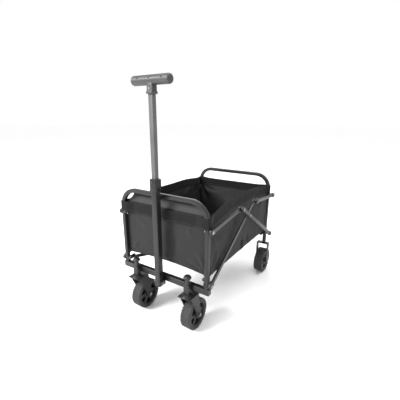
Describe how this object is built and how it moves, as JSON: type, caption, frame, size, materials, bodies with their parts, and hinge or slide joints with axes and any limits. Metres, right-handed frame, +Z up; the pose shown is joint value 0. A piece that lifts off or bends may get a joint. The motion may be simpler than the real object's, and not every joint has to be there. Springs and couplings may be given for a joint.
{
  "type": "folding camp wagon",
  "caption": "Folding four-wheel camp wagon: cloth bag on a steel link frame with end loops, swivel front casters and a telescopic T-handle",
  "frame": {"origin": "on the ground under the middle of the bounding box with the wagon open and the handle upright and pulled out", "axes": "+Z up, the handle and casters at -Y, the fixed rear wheels at +Y, +X to the right seen from the front end"},
  "size_m": [0.4694, 0.7148, 0.937],
  "materials": {
    "frame_paint": "dark grey powder coat, satin",
    "fork_paint": "dark grey powder coat on pressed steel, satin",
    "handle_grey": "mid grey powder coat, satin",
    "zinc_steel": "zinc-plated steel",
    "black_plastic": "black moulded nylon, fine grain",
    "grip_plastic": "grey moulded plastic, fine grain",
    "rim_plastic": "black moulded polypropylene",
    "tyre_rubber": "dark grey rubber-like tyre with a block tread",
    "bag_cloth": "charcoal woven polyester, coated inside"
  },
  "bodies": {
    "front_frame": {"front_loop": "frame_paint", "front_cross_bar": "frame_paint", "caster_housings": "frame_paint", "front_pivot_pins": "zinc_steel", "front_brackets": "frame_paint", "handle_bracket": "frame_paint", "handle_pivot_bolt": "zinc_steel", "bag_front": "bag_cloth", "bag_left": "bag_cloth", "bag_right": "bag_cloth", "bag_floor": "bag_cloth"},
    "handle": {"handle_outer_tube": "frame_paint", "handle_foot_plug": "black_plastic", "handle_collar": "black_plastic"},
    "collar_button": {"collar_button": "black_plastic"},
    "handle_inner": {"handle_inner_tube": "handle_grey", "handle_glide": "black_plastic", "grip_front_shell": "grip_plastic", "grip_back_shell": "grip_plastic", "grip_neck": "grip_plastic", "grip_screws": "zinc_steel"},
    "rear_frame": {"rear_loop": "frame_paint", "rear_cross_bar": "frame_paint", "rear_forks": "fork_paint", "rear_axles": "zinc_steel", "rear_pivot_pins": "zinc_steel", "rear_brackets": "frame_paint", "bag_rear": "bag_cloth"},
    "floor_strut_front": {"floor_strut_front_left": "frame_paint", "floor_strut_front_right": "frame_paint", "floor_hub_tube": "frame_paint"},
    "caster_left": {"caster_fork_left": "fork_paint", "caster_stem_left": "black_plastic", "caster_axle_left": "zinc_steel"},
    "wheel_front_left": {"tyre_front_left": "tyre_rubber", "rim_front_left": "rim_plastic"},
    "wheel_rear_left": {"tyre_rear_left": "tyre_rubber", "rim_rear_left": "rim_plastic"},
    "front_diagonal_left": {"front_diagonal_left": "frame_paint", "front_diagonal_caps_left": "black_plastic"},
    "rear_diagonal_left": {"rear_diagonal_left": "frame_paint", "rear_diagonal_caps_left": "black_plastic"},
    "front_brace_left": {"front_brace_left": "frame_paint"},
    "rear_brace_left": {"rear_brace_left": "frame_paint"},
    "floor_strut_rear_left": {"floor_strut_rear_left": "frame_paint"},
    "caster_right": {"caster_fork_right": "fork_paint", "caster_stem_right": "black_plastic", "caster_axle_right": "zinc_steel"},
    "wheel_front_right": {"tyre_front_right": "tyre_rubber", "rim_front_right": "rim_plastic"},
    "wheel_rear_right": {"tyre_rear_right": "tyre_rubber", "rim_rear_right": "rim_plastic"},
    "front_diagonal_right": {"front_diagonal_right": "frame_paint", "front_diagonal_caps_right": "black_plastic"},
    "rear_diagonal_right": {"rear_diagonal_right": "frame_paint", "rear_diagonal_caps_right": "black_plastic"},
    "front_brace_right": {"front_brace_right": "frame_paint"},
    "rear_brace_right": {"rear_brace_right": "frame_paint"},
    "floor_strut_rear_right": {"floor_strut_rear_right": "frame_paint"}
  },
  "joints": [
    {"name": "fold", "type": "hinge", "parent": "front_frame", "child": "front_diagonal_right", "pos_m": [0, -0.30662, 0.224], "axis": [1, 0, 0], "range_deg": [0, 47], "deforming": ["bag_left", "bag_right", "bag_floor"]},
    {"name": "fold_left", "type": "hinge", "parent": "front_frame", "child": "front_diagonal_left", "pos_m": [0, -0.30662, 0.224], "axis": [1, 0, 0], "range_deg": [0, 47]},
    {"name": "cross_left", "type": "hinge", "parent": "front_diagonal_left", "child": "rear_diagonal_left", "pos_m": [0, -0.00662, 0.412], "axis": [1, 0, 0], "range_deg": [-94, 0]},
    {"name": "cross_right", "type": "hinge", "parent": "front_diagonal_right", "child": "rear_diagonal_right", "pos_m": [0, -0.00662, 0.412], "axis": [1, 0, 0], "range_deg": [-94, 0]},
    {"name": "rear_foot", "type": "hinge", "parent": "rear_diagonal_right", "child": "rear_frame", "pos_m": [0, 0.29337, 0.224], "axis": [1, 0, 0], "range_deg": [0, 47]},
    {"name": "front_brace_left_pivot", "type": "hinge", "parent": "front_frame", "child": "front_brace_left", "pos_m": [0, -0.30662, 0.434], "axis": [1, 0, 0], "range_deg": [0, 71.3]},
    {"name": "rear_brace_left_pivot", "type": "hinge", "parent": "rear_frame", "child": "rear_brace_left", "pos_m": [0, 0.29337, 0.434], "axis": [1, 0, 0], "range_deg": [-71.3, 0]},
    {"name": "front_brace_right_pivot", "type": "hinge", "parent": "front_frame", "child": "front_brace_right", "pos_m": [0, -0.30662, 0.434], "axis": [1, 0, 0], "range_deg": [0, 71.3]},
    {"name": "rear_brace_right_pivot", "type": "hinge", "parent": "rear_frame", "child": "rear_brace_right", "pos_m": [0, 0.29337, 0.434], "axis": [1, 0, 0], "range_deg": [-71.3, 0]},
    {"name": "strut_front", "type": "hinge", "parent": "front_frame", "child": "floor_strut_front", "pos_m": [0, -0.28163, 0.224], "axis": [1, 0, 0], "range_deg": [0, 81.3]},
    {"name": "strut_rear_left", "type": "hinge", "parent": "rear_frame", "child": "floor_strut_rear_left", "pos_m": [0, 0.26837, 0.224], "axis": [1, 0, 0], "range_deg": [-81.3, 0]},
    {"name": "strut_rear_right", "type": "hinge", "parent": "rear_frame", "child": "floor_strut_rear_right", "pos_m": [0, 0.26837, 0.224], "axis": [1, 0, 0], "range_deg": [-81.3, 0]},
    {"name": "handle_tilt", "type": "hinge", "parent": "front_frame", "child": "handle", "pos_m": [0, -0.33763, 0.184], "axis": [1, 0, 0], "range_deg": [0, 95]},
    {"name": "handle_slide", "type": "slide", "parent": "handle", "child": "handle_inner", "axis": [0, 0, 1], "range_m": [-0.265, 0]},
    {"name": "button_press", "type": "slide", "parent": "handle", "child": "collar_button", "axis": [0, 1, 0], "range_m": [0, 0.0015], "stiffness_N_per_m": 500},
    {"name": "swivel_left", "type": "hinge", "parent": "front_frame", "child": "caster_left", "pos_m": [-0.128, -0.32762, 0.204], "axis": [0, 0, 1], "continuous": true},
    {"name": "swivel_right", "type": "hinge", "parent": "front_frame", "child": "caster_right", "pos_m": [0.128, -0.32762, 0.204], "axis": [0, 0, 1], "continuous": true},
    {"name": "spin_front_left", "type": "hinge", "parent": "caster_left", "child": "wheel_front_left", "pos_m": [-0.128, -0.28463, 0.064], "axis": [1, 0, 0], "continuous": true},
    {"name": "spin_front_right", "type": "hinge", "parent": "caster_right", "child": "wheel_front_right", "pos_m": [0.128, -0.28463, 0.064], "axis": [1, 0, 0], "continuous": true},
    {"name": "spin_rear_left", "type": "hinge", "parent": "rear_frame", "child": "wheel_rear_left", "pos_m": [-0.194, 0.29337, 0.064], "axis": [1, 0, 0], "continuous": true},
    {"name": "spin_rear_right", "type": "hinge", "parent": "rear_frame", "child": "wheel_rear_right", "pos_m": [0.194, 0.29337, 0.064], "axis": [1, 0, 0], "continuous": true}
  ],
  "couplings": [
    {"joint": "fold_left", "follows": "fold", "ratio": 1},
    {"joint": "cross_left", "follows": "fold", "ratio": -2},
    {"joint": "cross_right", "follows": "fold", "ratio": -2},
    {"joint": "rear_foot", "follows": "fold", "ratio": 1},
    {"joint": "front_brace_left_pivot", "follows": "fold", "ratio": 1.515},
    {"joint": "rear_brace_left_pivot", "follows": "fold", "ratio": -1.515},
    {"joint": "front_brace_right_pivot", "follows": "fold", "ratio": 1.515},
    {"joint": "rear_brace_right_pivot", "follows": "fold", "ratio": -1.515},
    {"joint": "strut_front", "follows": "fold", "ratio": 1.728},
    {"joint": "strut_rear_left", "follows": "fold", "ratio": -1.728},
    {"joint": "strut_rear_right", "follows": "fold", "ratio": -1.728}
  ]
}
